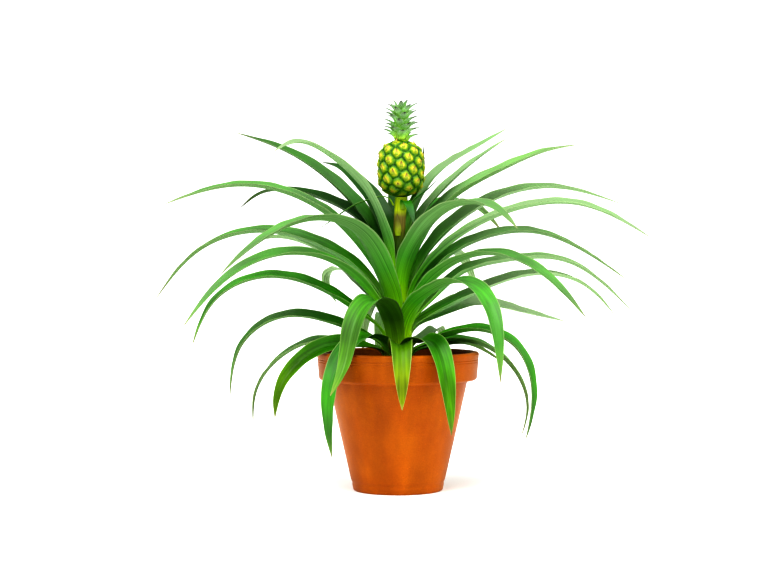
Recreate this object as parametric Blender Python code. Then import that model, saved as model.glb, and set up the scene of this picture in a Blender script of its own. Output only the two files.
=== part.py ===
# Potted pineapple plant: a dwarf pineapple with one fruit, growing in a plain terracotta pot.
# Blender 4.5, metres, +Z up. The origin is on the pot's axis, at the surface it stands on.
# -Y is the front of the plant. Each sub-part is one named object with its own material.

import bmesh
import bpy
import numpy as np
from math import cos, pi, sin
from mathutils import Matrix, Vector

MM = 0.001

# Pot: a turned clay pot with a collar
POT_HEIGHT = 138.5 * MM
COLLAR_RADIUS = 81.0 * MM
COLLAR_HEIGHT = 28.0 * MM
COLLAR_TAPER = 1.8 * MM
COLLAR_STEP = 10.0 * MM       # how far the collar stands out from the wall below it
BASE_RADIUS = 45.0 * MM
WALL = 7.0 * MM
FLOOR = 8.0 * MM
DRAIN_RADIUS = 11.0 * MM
EDGE_ROUNDING = 2.0 * MM
SHOULDER_RISE = 5.0 * MM      # the inside widens between these two heights,
SHOULDER_DROP = 6.0 * MM      # above and below the foot of the collar
POT_SIDES = 48

# Soil: fills the pot to a little under the rim, with a pocket for the foot of the stem
SOIL_TOP = 126.0 * MM
SOIL_SIDES = 48
SOIL_ROUNDING = 2.0 * MM

# Stem: the short stem that carries the leaves, running on into the stalk under the fruit
STEM_FOOT = 96.0 * MM
STEM_RADIUS = 13.0 * MM
STEM_FOOT_RADIUS = 10.0 * MM
STEM_TAPER_START = 150.0 * MM
STALK_START = 236.0 * MM
STALK_FOOT_RADIUS = 7.0 * MM
STALK_RADIUS = 6.0 * MM
STALK_NARROWING = 12.0 * MM   # height over which the stalk comes down to its final radius
STALK_LEAN = 3.0 * MM         # the stalk and the fruit stand this far to the right
STEM_SIDES = 24

# Fruit and its crown
FRUIT_BOTTOM = 293.0 * MM
FRUIT_HEIGHT = 57.0 * MM
FRUIT_RADIUS = 23.8 * MM
FRUIT_SIDES = 32
FRUIT_RINGS = 12
FRUIT_SQUARENESS = 3.2        # 2 is an ellipse; more gives a straighter barrel
FRUIT_SKEW = 0.92             # under 1 puts the fullest part below half way
FRUIT_END_ANGLE = 0.16        # radians left off each end, where the stalk and the crown sit
CROWN_HEIGHT = 41.0 * MM
CROWN_CORE_RADIUS = 7.0 * MM
CROWN_SIDES = 10
CROWN_ROWS = 7
CROWN_CORE_SHARE = 0.62       # height of the core, of the crown's height
CROWN_CORE_TAPER = 0.62
CROWN_LEAF_LENGTH = 15.5 * MM  # the lowest leaves; the highest are shorter by the next length
CROWN_LEAF_SHORTENING = 3.0 * MM
CROWN_LEAF_STEEPNESS = 0.62   # radians above level at the foot of the crown, and gained to its top
CROWN_LEAF_STEPS = ((0.45, 0.85), (0.33, 0.62), (0.22, 0.2))  # share of the length, and narrowing

GAP = 0.3 * MM                # clearance between pieces that touch

# Leaf blades: thick in the middle, thin at the edges and the tip
BLADE_THICKNESS = 1.6 * MM
BLADE_RINGS = 11
BLADE_SPAN = (-1.0, -0.5, 0.0, 0.5, 1.0)   # places across the blade, edge to edge
FOOT_CLEARANCE = 1.1 * MM     # from the stem's skin to the middle of a leaf's thickness
FOOT_WRAP = 0.8               # most of a radian that a foot wraps round the stem, each way
CHANNEL = 0.48                # depth of a blade's hollow over its half width
CHANNEL_CURVE = 1.6           # 1 is a fold along the middle, 2 a round hollow
CHANNEL_LEVEL = 0.4           # share of the depth that the middle lies below the route
CHANNEL_START = 12.0 * MM     # the hollow grows from this reach,
CHANNEL_RUN = 36.0 * MM       # over this much reach
FOOT_WIDTH = 0.62             # width at the foot, of the full width
WIDENING = 0.25               # share of the length that a blade takes to reach full width
ROLL_RUN = 0.35               # share of the length over which the roll comes in
TIP_POWER = 3.2               # more keeps a blade wide for longer before its tip
TIP_HALF_WIDTH = 0.4 * MM
EDGE_THINNING = 0.55
TIP_THINNING = 0.45

# Each leaf: turn and sway of its direction round the stem (degrees, 0 = right, 90 = back),
# roll about its own length (degrees), width, height of its foot, and its route as
# (distance from the stem's axis, height), all in millimetres.
LEAVES = {
    "leaf_front_over_rim": (272, 0, 0, 24, 130, [(42, 147), (80, 146), (92, 124), (98, 88)]),
    "leaf_left_lowest": (160, 0, -15, 20, 131,
        [(57, 146), (87, 148), (129, 130), (156, 94), (159, 58)]),
    "leaf_back_right_lowest": (30, 0, 0, 18, 132, [(37, 142), (80, 145), (125, 124)]),
    "leaf_front_left_lowest": (204, 0, -40, 22, 133,
        [(42, 146), (76, 146), (108, 129), (127, 102), (131, 76)]),
    "leaf_front_right_over_rim": (298, 0, 8, 24, 135, [(45, 153), (80, 147), (98, 114), (107, 64)]),
    "leaf_right_bent": (7, 0, 9, 22, 137, [(32, 146), (68, 150), (107, 132), (132, 80), (125, 50)]),
    "leaf_back_right_short": (62, 0, 0, 22, 140, [(56, 148), (88, 159), (110, 140)]),
    "leaf_front_left_drooping": (232, 0, -6, 24, 140,
        [(38, 155), (76, 148), (101, 120), (108, 83), (103, 41)]),
    "leaf_left_low_arch": (176, 0, -20, 22, 141,
        [(33, 155), (73, 170), (114, 174), (156, 148), (170, 89)]),
    "leaf_right_low_arch": (-14, 0, 12, 24, 145,
        [(33, 152), (78, 162), (119, 146), (136, 107), (129, 52)]),
    "leaf_front_folded": (262, -16, -6, 26, 145,
        [(42, 183), (89, 190), (112, 172), (127, 132), (155, 105)]),
    "leaf_back_low": (97, 0, 0, 24, 146, [(50, 166), (100, 172), (150, 150), (170, 110)]),
    "leaf_left_mid_low": (186, 0, -18, 24, 153,
        [(33, 174), (73, 200), (133, 214), (182, 191), (205, 144)]),
    "leaf_back_left_short": (106, 0, 0, 22, 154, [(50, 180), (95, 187), (125, 164), (135, 130)]),
    "leaf_right_straight": (44, 0, 34, 24, 155, [(45, 171), (89, 185), (166, 179), (258, 162)]),
    "leaf_front_right_arch": (-64, 0, 7, 26, 157,
        [(31, 181), (75, 201), (132, 211), (189, 187), (207, 120)]),
    "leaf_back_right_mid_low": (22, 0, 9, 24, 158,
        [(35, 175), (79, 195), (153, 216), (211, 204), (247, 172)]),
    "leaf_back_left_curled": (130, -12, 0, 22, 160, [(76, 206), (126, 221), (163, 210), (139, 184)]),
    "leaf_right_mid": (6, 0, 12, 24, 162, [(32, 188), (63, 217), (108, 230), (165, 231), (239, 178)]),
    "leaf_front_left_mid": (206, 0, -12, 26, 165,
        [(29, 194), (63, 225), (122, 237), (183, 212), (226, 167)]),
    "leaf_back_right_mid": (61, 0, 0, 24, 167, [(57, 214), (102, 238), (142, 232), (180, 195)]),
    "leaf_front_right_mid": (-35, 0, 9, 26, 169,
        [(24, 192), (50, 218), (103, 237), (164, 219), (213, 176)]),
    "leaf_back_left_mid": (140, 0, -6, 24, 171,
        [(34, 200), (85, 232), (156, 254), (201, 248), (224, 231)]),
    "leaf_back_mid": (92, 0, 0, 26, 173, [(40, 213), (88, 238), (145, 225), (186, 176)]),
    "leaf_right_high_arch": (16, 0, 12, 24, 175,
        [(39, 224), (87, 252), (146, 259), (201, 239), (250, 208)]),
    "leaf_left_long_arch": (166, 0, -12, 26, 177,
        [(31, 212), (71, 241), (143, 260), (210, 241), (259, 189)]),
    "leaf_front_left_high": (252, -29, 0, 28, 179,
        [(30, 216), (62, 255), (112, 270), (172, 252), (222, 217)]),
    "leaf_right_longest": (-10, 0, 12, 26, 183,
        [(37, 234), (73, 262), (122, 282), (176, 286), (251, 251)]),
    "leaf_left_dry_tip": (190, 0, -12, 28, 184,
        [(28, 228), (54, 262), (94, 290), (158, 304), (233, 284)]),
    "leaf_right_high": (15, 0, 12, 26, 187, [(28, 234), (60, 268), (107, 295), (163, 305), (240, 288)]),
    "leaf_back_left_high": (152, 0, -7, 26, 197,
        [(29, 258), (73, 288), (124, 302), (161, 300), (188, 284)]),
    "leaf_back_right_high": (57, 0, 5, 24, 199, [(30, 252), (72, 285), (148, 289), (211, 262)]),
    "leaf_front_right_high": (-58, 10, 6, 30, 201, [(43, 261), (85, 283), (131, 281), (165, 259)]),
    "leaf_right_rising": (9, 0, 11, 28, 210,
        [(17, 242), (54, 292), (106, 322), (153, 341), (185, 347)]),
    "leaf_left_rising": (158, 0, -9, 26, 212,
        [(16, 240), (30, 265), (64, 303), (121, 341), (181, 362)]),
    "leaf_back_top": (90, 0, 0, 22, 219, [(15, 244), (38, 276), (72, 308), (120, 314), (165, 284)]),
    "leaf_front_left_top": (215, 0, -20, 28, 221,
        [(14, 244), (38, 298), (79, 331), (121, 343), (145, 333)]),
    "leaf_right_top": (22, 0, 5, 20, 225, [(13, 246), (22, 270), (43, 296), (84, 331), (121, 355)]),
    "leaf_back_left_top": (127, 0, -6, 24, 229,
        [(12, 244), (30, 275), (75, 310), (108, 326), (150, 335)]),
    "leaf_back_right_top": (54, 0, 5, 15, 234,
        [(10, 250), (21, 276), (60, 315), (130, 346), (207, 375)]),
}

# The small leaves on the stalk, written as the leaves are
BRACTS = {
    "bract_left": (188, -13, 0, 5, 284, [(12, 292), (30, 291), (48, 284), (72, 268), (86, 259)]),
    "bract_front": (-62, 0, 0, 11, 280, [(11, 289), (19, 283), (28, 264)]),
    "bract_back_right": (75, 0, 0, 6, 278, [(11, 285), (20, 287)]),
    "bract_right_upright": (38, 0, 0, 6, 283, [(20, 297), (28.5, 315), (30, 335), (28.5, 349)]),
    "bract_right": (4, 0, 0, 5, 281, [(15, 291), (29, 302), (39, 314)]),
    "bract_stalk": (-100, 0, 0, 8, 254, [(9, 268), (10.5, 276)]),
}


def clear_scene():
    for old in list(bpy.data.objects):
        bpy.data.objects.remove(old, do_unlink=True)


def make_material(name, colour, roughness, metallic=0.0):
    material = bpy.data.materials.new(name)
    material.use_nodes = True
    shader = material.node_tree.nodes["Principled BSDF"]
    shader.inputs["Base Color"].default_value = (*colour, 1.0)
    shader.inputs["Roughness"].default_value = roughness
    shader.inputs["Metallic"].default_value = metallic
    return material


def add_object(name, bm, material, crease=50):
    """Turn a bmesh into a named, smooth-shaded object."""
    bmesh.ops.recalc_face_normals(bm, faces=bm.faces)
    mesh = bpy.data.meshes.new(name)
    bm.to_mesh(mesh)
    bm.free()
    mesh.shade_smooth()
    mesh.set_sharp_from_angle(angle=crease * pi / 180)
    mesh.materials.append(material)
    part = bpy.data.objects.new(name, mesh)
    bpy.context.scene.collection.objects.link(part)
    return part


def arc(centre_x, centre_z, radius, start, end, steps=3):
    """Points of an arc in the X-Z plane, angles in degrees from +X towards +Z."""
    angles = np.radians(np.linspace(start, end, steps + 1))
    return [(centre_x + radius * cos(a), centre_z + radius * sin(a)) for a in angles]


def turned(profile, sides, closed=False):
    """Turn a profile of (radius, height) points about the Z axis."""
    bm = bmesh.new()
    verts = [bm.verts.new((x, 0.0, z)) for x, z in profile]
    edges = [bm.edges.new(pair) for pair in zip(verts, verts[1:])]
    if closed:
        edges.append(bm.edges.new((verts[-1], verts[0])))
    bmesh.ops.spin(bm, geom=verts + edges, axis=(0, 0, 1), cent=(0, 0, 0), angle=2 * pi,
                   steps=sides, use_merge=True)
    bmesh.ops.remove_doubles(bm, verts=bm.verts, dist=1e-6)
    return bm


def stacked_rings(rings, sides):
    """A closed round body through rings of (x, height, radius)."""
    bm = bmesh.new()
    loops = []
    for x, z, radius in rings:
        ring = bmesh.ops.create_circle(bm, segments=sides, radius=radius,
                                       matrix=Matrix.Translation((x, 0.0, z)))["verts"]
        loops.append(ring)
    for low, high in zip(loops, loops[1:]):
        for i in range(sides):
            j = (i + 1) % sides
            bm.faces.new((low[i], low[j], high[j], high[i]))
    bm.faces.new(loops[0])
    bm.faces.new(loops[-1])
    return bm


def spline(points, count):
    """Places spaced evenly along a natural cubic spline through the points."""
    knots = np.array(points, float)
    spans = np.linalg.norm(np.diff(knots, axis=0), axis=1)
    along = np.concatenate([[0.0], np.cumsum(spans)])
    size = len(knots)
    matrix = np.eye(size)
    right = np.zeros_like(knots)
    for i in range(1, size - 1):
        matrix[i, i - 1:i + 2] = spans[i - 1], 2 * (spans[i - 1] + spans[i]), spans[i]
        right[i] = 6 * ((knots[i + 1] - knots[i]) / spans[i] - (knots[i] - knots[i - 1]) / spans[i - 1])
    bend = np.linalg.solve(matrix, right)

    def place(distance):
        i = int(np.clip(np.searchsorted(along, distance) - 1, 0, size - 2))
        h, a, b = spans[i], along[i + 1] - distance, distance - along[i]
        return (bend[i] * a ** 3 + bend[i + 1] * b ** 3) / (6 * h) \
            + (knots[i] / h - bend[i] * h / 6) * a + (knots[i + 1] / h - bend[i + 1] * h / 6) * b

    fine = np.array([place(d) for d in np.linspace(0, along[-1], 200)])
    travelled = np.concatenate([[0.0], np.cumsum(np.linalg.norm(np.diff(fine, axis=0), axis=1))])
    wanted = np.linspace(0, travelled[-1], count)
    return np.stack([np.interp(wanted, travelled, fine[:, k]) for k in range(2)], axis=1)


def stem_radius(height):
    """Radius of the stem and the stalk at a height."""
    heights = (STEM_FOOT, SOIL_TOP, STEM_TAPER_START, STALK_START, STALK_START + STALK_NARROWING)
    radii = (STEM_FOOT_RADIUS, STEM_RADIUS, STEM_RADIUS, STALK_FOOT_RADIUS, STALK_RADIUS)
    return float(np.interp(height, heights, radii))


def stem_offset(height):
    """How far the stem's axis leans to the right at a height."""
    rise = np.clip((height - STALK_START) / (FRUIT_BOTTOM - STALK_START), 0, 1)
    return float(STALK_LEAN * rise)


def blade(turn, sway, roll, width, foot, route):
    """One leaf: a long tapered blade, hollow along its length, wrapped round the stem at its foot."""
    foot *= MM
    start = (stem_radius(foot) + FOOT_CLEARANCE, foot)
    path = spline([start] + [(reach * MM, height * MM) for reach, height in route], BLADE_RINGS)
    along = np.linspace(0, 1, BLADE_RINGS)
    reach, height = path[:, 0], path[:, 1]
    heading = np.radians(turn + sway * along * (2 - along))
    outward = np.stack([np.cos(heading), np.sin(heading), 0 * heading], axis=1)
    around = np.stack([-np.sin(heading), np.cos(heading), 0 * heading], axis=1)
    middle = outward * reach[:, None] + np.array([0, 0, 1]) * height[:, None]
    middle[:, 0] += stem_offset(foot)
    forward = np.gradient(middle, axis=0)
    forward /= np.linalg.norm(forward, axis=1)[:, None]
    across = around - np.sum(around * forward, axis=1)[:, None] * forward
    across /= np.linalg.norm(across, axis=1)[:, None]
    up = np.cross(forward, across)
    tilt = np.radians(roll) * np.clip(along / ROLL_RUN, 0, 1) ** 1.5
    tilted_across = across * np.cos(tilt)[:, None] + up * np.sin(tilt)[:, None]
    tilted_up = up * np.cos(tilt)[:, None] - across * np.sin(tilt)[:, None]

    taper = np.maximum(1 - along ** TIP_POWER, 0) ** 0.9
    widening = FOOT_WIDTH + (1 - FOOT_WIDTH) * np.minimum(along / WIDENING, 1)
    half = width * MM / 2 * widening * taper
    half = np.minimum(np.maximum(half, TIP_HALF_WIDTH), FOOT_WRAP * reach)
    hollow = CHANNEL * half * np.clip((reach - CHANNEL_START) / CHANNEL_RUN, 0, 1)

    upper, lower = [], []
    for u in BLADE_SPAN:
        wrap = half * u / reach
        line = middle + tilted_across * (half * u)[:, None]
        line = line + tilted_up * (hollow * (abs(u) ** CHANNEL_CURVE - CHANNEL_LEVEL))[:, None]
        line = line + outward * (reach * (np.cos(wrap) - 1))[:, None]
        line = line + around * (reach * np.sin(wrap) - half * u)[:, None]
        thickness = BLADE_THICKNESS * (1 - EDGE_THINNING * abs(u)) * (1 - TIP_THINNING * along)
        upper.append(line + tilted_up * (thickness / 2)[:, None])
        lower.append(line - tilted_up * (thickness / 2)[:, None])
    outline = upper + lower[::-1]

    bm = bmesh.new()
    rings = [[bm.verts.new(side[k]) for side in outline] for k in range(BLADE_RINGS)]
    count = len(outline)
    for near, far in zip(rings, rings[1:]):
        for i in range(count):
            j = (i + 1) % count
            bm.faces.new((near[i], near[j], far[j], far[i]))
    bm.faces.new(rings[0])
    bm.faces.new(rings[-1])
    bmesh.ops.triangulate(bm, faces=bm.faces)
    return bm


def pot(material):
    r = EDGE_ROUNDING
    top = POT_HEIGHT
    collar_bottom = top - COLLAR_HEIGHT
    collar_low_radius = COLLAR_RADIUS - COLLAR_TAPER
    neck_radius = collar_low_radius - COLLAR_STEP
    inner_top_radius = COLLAR_RADIUS - WALL
    inner_shoulder = collar_bottom - r
    profile = [(DRAIN_RADIUS, 0.0)]
    profile += arc(BASE_RADIUS - r, r, r, -90, 0)
    profile += [(neck_radius, collar_bottom)]
    profile += arc(collar_low_radius - r, collar_bottom + r, r, -90, 0)
    profile += arc(COLLAR_RADIUS - r, top - r, r, 0, 90)
    profile += arc(inner_top_radius + r, top - r, r, 90, 180)
    profile += [(inner_top_radius - COLLAR_TAPER, collar_bottom + SHOULDER_RISE)]
    profile += [(neck_radius - WALL, inner_shoulder - SHOULDER_DROP)]
    profile += [(BASE_RADIUS - WALL, FLOOR)]
    profile += [(DRAIN_RADIUS, FLOOR)]
    return add_object("pot", turned(profile, POT_SIDES, closed=True), material)


def inner_wall(height):
    """Radius of the pot's inside at a height."""
    collar_bottom = POT_HEIGHT - COLLAR_HEIGHT
    neck = COLLAR_RADIUS - COLLAR_TAPER - COLLAR_STEP - WALL
    heights = (FLOOR, collar_bottom - EDGE_ROUNDING - SHOULDER_DROP,
               collar_bottom + SHOULDER_RISE, POT_HEIGHT - EDGE_ROUNDING)
    radii = (BASE_RADIUS - WALL, neck, COLLAR_RADIUS - WALL - COLLAR_TAPER, COLLAR_RADIUS - WALL)
    return float(np.interp(height, heights, radii))


def soil(material):
    shoulder = POT_HEIGHT - COLLAR_HEIGHT - EDGE_ROUNDING - SHOULDER_DROP
    neck = POT_HEIGHT - COLLAR_HEIGHT + SHOULDER_RISE
    clear = 1.5 * GAP         # keeps the flat facets of pot and soil apart
    profile = [(0.0, FLOOR + GAP), (inner_wall(FLOOR) - clear, FLOOR + GAP)]
    profile += [(inner_wall(z) - clear, z) for z in (shoulder, neck, SOIL_TOP - SOIL_ROUNDING)]
    profile += [(inner_wall(SOIL_TOP) - clear - SOIL_ROUNDING, SOIL_TOP)]
    profile += [(STEM_RADIUS + GAP, SOIL_TOP)]
    profile += [(stem_radius(STEM_FOOT) + GAP, STEM_FOOT - GAP), (0.0, STEM_FOOT - GAP)]
    return add_object("soil", turned(profile, SOIL_SIDES), material)


def stem(material):
    narrowed = STALK_START + STALK_NARROWING
    heights = [STEM_FOOT, SOIL_TOP, *np.linspace(STEM_TAPER_START, STALK_START, 4)]
    heights += [narrowed, (narrowed + FRUIT_BOTTOM) / 2, FRUIT_BOTTOM - GAP]
    rings = [(stem_offset(z), z, stem_radius(z)) for z in heights]
    return add_object("stem", stacked_rings(rings, STEM_SIDES), material)


def fruit_radius(rise):
    """Radius of the fruit at a fraction of its height: a barrel, fullest a little below half way."""
    skewed = rise ** FRUIT_SKEW
    return FRUIT_RADIUS * (1 - abs(2 * skewed - 1) ** FRUIT_SQUARENESS) ** 0.5


def fruit(material):
    angles = np.linspace(FRUIT_END_ANGLE, pi - FRUIT_END_ANGLE, FRUIT_RINGS)
    rises = 0.5 - 0.5 * np.cos(angles)
    top = FRUIT_BOTTOM + FRUIT_HEIGHT
    rings = [(STALK_LEAN, FRUIT_BOTTOM + FRUIT_HEIGHT * rise, fruit_radius(rise)) for rise in rises]
    rings[0] = (STALK_LEAN, FRUIT_BOTTOM, rings[0][2])
    rings[-1] = (STALK_LEAN, top, rings[-1][2])
    return add_object("fruit", stacked_rings(rings, FRUIT_SIDES), material)


def crown(material):
    """The tuft on the fruit: a short core whose small pointed leaves are drawn out of it."""
    base = FRUIT_BOTTOM + FRUIT_HEIGHT + GAP
    core_height = CROWN_CORE_SHARE * CROWN_HEIGHT
    rings = []
    for k in range(CROWN_ROWS + 1):
        rise = k / CROWN_ROWS
        radius = CROWN_CORE_RADIUS * (1 - CROWN_CORE_TAPER * rise ** 1.5)
        rings.append((STALK_LEAN, base + core_height * rise, radius))
    bm = stacked_rings(rings, CROWN_SIDES)
    axis = Vector((STALK_LEAN, 0.0, 0.0))
    bmesh.ops.recalc_face_normals(bm, faces=bm.faces)
    sides = [face for face in bm.faces if len(face.verts) == 4]
    for face in sides:
        middle = face.calc_center_median()
        rise = (middle.z - base) / core_height
        row = int(rise * CROWN_ROWS)
        column = int(round(np.arctan2(middle.y, middle.x - STALK_LEAN) / (2 * pi / CROWN_SIDES) - 0.5))
        if (row + column) % 2:
            continue
        outward = (Vector((middle.x, middle.y, 0.0)) - axis).normalized()
        length = CROWN_LEAF_LENGTH - CROWN_LEAF_SHORTENING * rise
        steepness = CROWN_LEAF_STEEPNESS * (1 + rise)
        current = face
        for share, shrink in CROWN_LEAF_STEPS:
            made = bmesh.ops.extrude_discrete_faces(bm, faces=[current])["faces"][0]
            move = (outward * cos(steepness) + Vector((0, 0, 1)) * sin(steepness)) * length * share
            bmesh.ops.translate(bm, verts=made.verts, vec=move)
            centre = made.calc_center_median()
            bmesh.ops.scale(bm, verts=made.verts, vec=(shrink,) * 3, space=Matrix.Translation(-centre))
            current = made
    tip = max(vert.co.z for vert in bm.verts)
    stretch = CROWN_HEIGHT / (tip - base)
    bmesh.ops.scale(bm, verts=bm.verts, vec=(1, 1, stretch), space=Matrix.Translation((0, 0, -base)))
    bmesh.ops.triangulate(bm, faces=bm.faces)
    return add_object("crown", bm, material, crease=35)


def main():
    clear_scene()
    pot(make_material("terracotta", (0.60, 0.17, 0.03), 0.65))
    soil(make_material("soil", (0.035, 0.022, 0.014), 0.95))
    stem(make_material("stem_green", (0.33, 0.42, 0.08), 0.55))
    fruit(make_material("fruit_skin", (0.50, 0.45, 0.06), 0.50))
    crown(make_material("crown_leaf", (0.11, 0.24, 0.13), 0.55))
    leaf_green = make_material("leaf_green", (0.06, 0.20, 0.03), 0.42)
    for name, leaf in LEAVES.items():
        add_object(name, blade(*leaf), leaf_green)
    bract_green = make_material("bract_green", (0.07, 0.14, 0.03), 0.50)
    for name, leaf in BRACTS.items():
        add_object(name, blade(*leaf), bract_green)


main()
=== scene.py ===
import math
import random

import bmesh
import bpy
import numpy as np
from mathutils import Matrix, Vector, noise


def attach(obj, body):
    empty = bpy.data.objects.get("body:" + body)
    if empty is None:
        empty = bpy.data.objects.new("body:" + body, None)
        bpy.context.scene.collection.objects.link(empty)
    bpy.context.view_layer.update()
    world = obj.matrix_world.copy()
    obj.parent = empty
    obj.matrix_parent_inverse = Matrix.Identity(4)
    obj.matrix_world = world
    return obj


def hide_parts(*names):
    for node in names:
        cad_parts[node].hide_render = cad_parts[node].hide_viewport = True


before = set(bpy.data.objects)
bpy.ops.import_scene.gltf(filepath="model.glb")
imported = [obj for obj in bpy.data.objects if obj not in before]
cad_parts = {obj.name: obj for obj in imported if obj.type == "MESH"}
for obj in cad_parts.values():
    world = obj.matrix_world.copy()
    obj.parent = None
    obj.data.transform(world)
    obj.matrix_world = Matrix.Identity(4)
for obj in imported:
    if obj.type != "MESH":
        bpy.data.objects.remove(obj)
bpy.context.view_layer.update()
print("frame loaded:", len(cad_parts), "nodes")

mm = 0.001
goldenAngle = 2.39996  # radians from one leaf or eye to the next

# shared by the blades of the leaves, the bracts and the crown
blade = {
    "footNarrowing": 0.62,      # width at the foot, of the full width
    "footLength": 0.25,         # the share of the length that it takes to reach full width
    "footWrap": 0.8,            # radians round the stem, each way
    "footClearance": 1.1,       # mm, from the stem's skin to the middle of the blade
    "flatReach": 12,            # mm from the axis: closer in, the foot only follows the stem
    "hollowReach": 48,          # mm from the axis: further out, the channel is full
}

# turn, sway, roll (degrees), width, foot height and route (reach, height) in mm
leafRoutes = {
    "leaf_front_over_rim": (272, 0, 0, 24, 130, [(42, 147), (80, 146), (92, 124), (98, 88)]),
    "leaf_left_lowest": (160, 0, -15, 20, 131, [(57, 146), (87, 148), (129, 130), (156, 94), (159, 58)]),
    "leaf_back_right_lowest": (30, 0, 0, 18, 132, [(37, 142), (80, 145), (125, 124)]),
    "leaf_front_left_lowest": (204, 0, -40, 22, 133,
        [(42, 146), (76, 146), (108, 129), (127, 102), (131, 76)]),
    "leaf_front_right_over_rim": (298, 0, 8, 24, 135, [(45, 153), (80, 147), (98, 114), (107, 64)]),
    "leaf_right_bent": (7, 0, 9, 22, 137, [(32, 146), (68, 150), (107, 132), (132, 80), (125, 50)]),
    "leaf_back_right_short": (62, 0, 0, 22, 140, [(56, 148), (88, 159), (110, 140)]),
    "leaf_front_left_drooping": (232, 0, -6, 24, 140,
        [(38, 155), (76, 148), (101, 120), (108, 83), (103, 41)]),
    "leaf_left_low_arch": (176, 0, -20, 22, 141, [(33, 155), (73, 170), (114, 174), (156, 148), (170, 89)]),
    "leaf_right_low_arch": (-14, 0, 12, 24, 145, [(33, 152), (78, 162), (119, 146), (136, 107), (129, 52)]),
    "leaf_front_folded": (262, -16, -6, 26, 145, [(42, 183), (89, 190), (112, 172), (127, 132), (155, 105)]),
    "leaf_back_low": (97, 0, 0, 24, 146, [(50, 166), (100, 172), (150, 150), (170, 110)]),
    "leaf_left_mid_low": (186, 0, -18, 24, 153, [(33, 174), (73, 200), (133, 214), (182, 191), (205, 144)]),
    "leaf_back_left_short": (106, 0, 0, 22, 154, [(50, 180), (95, 187), (125, 164), (135, 130)]),
    "leaf_right_straight": (44, 0, 34, 24, 155, [(45, 171), (89, 185), (166, 179), (258, 162)]),
    "leaf_front_right_arch": (-64, 0, 7, 26, 157,
        [(31, 181), (75, 201), (132, 211), (189, 187), (206.6, 120.5)]),
    "leaf_back_right_mid_low": (22, 0, 9, 24, 158,
        [(35, 175), (79, 195), (153, 216), (211, 204), (247, 172)]),
    "leaf_back_left_curled": (130, -12, 0, 22, 160, [(76, 206), (126, 221), (163, 210), (139, 184)]),
    "leaf_right_mid": (6, 0, 12, 24, 162, [(32, 188), (63, 217), (108, 230), (165, 231), (239, 178)]),
    "leaf_front_left_mid": (206, 0, -12, 26, 165, [(29, 194), (63, 225), (122, 237), (183, 212), (226, 167)]),
    "leaf_back_right_mid": (61, 0, 0, 24, 167, [(57, 214), (102, 238), (142, 232), (180, 195)]),
    "leaf_front_right_mid": (-35, 0, 9, 26, 169, [(24, 192), (50, 218), (103, 237), (164, 219), (213, 176)]),
    "leaf_back_left_mid": (140, 0, -6, 24, 171, [(34, 200), (85, 232), (156, 254), (201, 248), (224, 231)]),
    "leaf_back_mid": (92, 0, 0, 26, 173, [(40, 213), (88, 238), (145, 225), (186, 176)]),
    "leaf_right_high_arch": (16, 0, 12, 24, 175, [(39, 224), (87, 252), (146, 259), (201, 239), (250, 208)]),
    "leaf_left_long_arch": (166, 0, -12, 26, 177, [(31, 212), (71, 241), (143, 260), (210, 241), (259, 189)]),
    "leaf_front_left_high": (252, -29, 0, 28, 179,
        [(30, 216), (62, 255), (112, 270), (172, 252), (222, 217)]),
    "leaf_right_longest": (-10, 0, 12, 26, 183, [(37, 234), (73, 262), (122, 282), (176, 286), (251, 251)]),
    "leaf_left_dry_tip": (190, 0, -12, 28, 184, [(28, 228), (54, 262), (94, 290), (158, 304), (233, 284)]),
    "leaf_right_high": (15, 0, 12, 26, 187, [(28, 234), (60, 268), (107, 295), (163, 305), (240, 288)]),
    "leaf_back_left_high": (152, 0, -7, 26, 197, [(29, 258), (73, 288), (124, 302), (161, 300), (188, 284)]),
    "leaf_back_right_high": (57, 0, 5, 24, 199, [(30, 252), (72, 285), (148, 289), (211, 262)]),
    "leaf_front_right_high": (-58, 10, 6, 30, 201, [(43, 261), (85, 283), (131, 281), (165, 259)]),
    "leaf_right_rising": (9, 0, 11, 28, 210, [(17, 242), (54, 292), (106, 322), (153, 341), (185, 347)]),
    "leaf_left_rising": (158, 0, -9, 26, 212, [(16, 240), (30, 265), (64, 303), (121, 341), (181, 362)]),
    "leaf_back_top": (90, 0, 0, 22, 219, [(15, 244), (38, 276), (72, 308), (120, 314), (165, 284)]),
    "leaf_front_left_top": (215, 0, -20, 28, 221, [(14, 244), (38, 298), (79, 331), (121, 343), (145, 333)]),
    "leaf_right_top": (22, 0, 5, 20, 225, [(13, 246), (22, 270), (43, 296), (84, 331), (121, 355)]),
    "leaf_back_left_top": (123, 0, -6, 24, 229, [(12, 244), (30, 275), (75, 310), (108, 326), (150, 335)]),
    "leaf_back_right_top": (54, 0, 5, 15, 234, [(10, 250), (21, 276), (60, 315), (130, 346), (207, 375)]),
}
bractRoutes = {
    "bract_left": (188, -13, 0, 5, 284, [(12, 292), (30, 291), (48, 284), (72, 268), (86, 259)]),
    "bract_front": (-62, 0, 0, 11, 280, [(11, 289), (19, 283), (28, 264)]),
    "bract_back_right": (75, 0, 0, 6, 278, [(11, 285), (20, 287)]),
    "bract_right_upright": (38, 0, 0, 6, 283, [(20, 297), (28.5, 315), (30, 335), (28.5, 349)]),
    "bract_right": (4, 0, 0, 5, 281, [(15, 291), (29, 302), (39, 314)]),
    "bract_stalk": (-100, 0, 0, 8, 254, [(9, 268), (10.5, 276)]),
}

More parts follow.
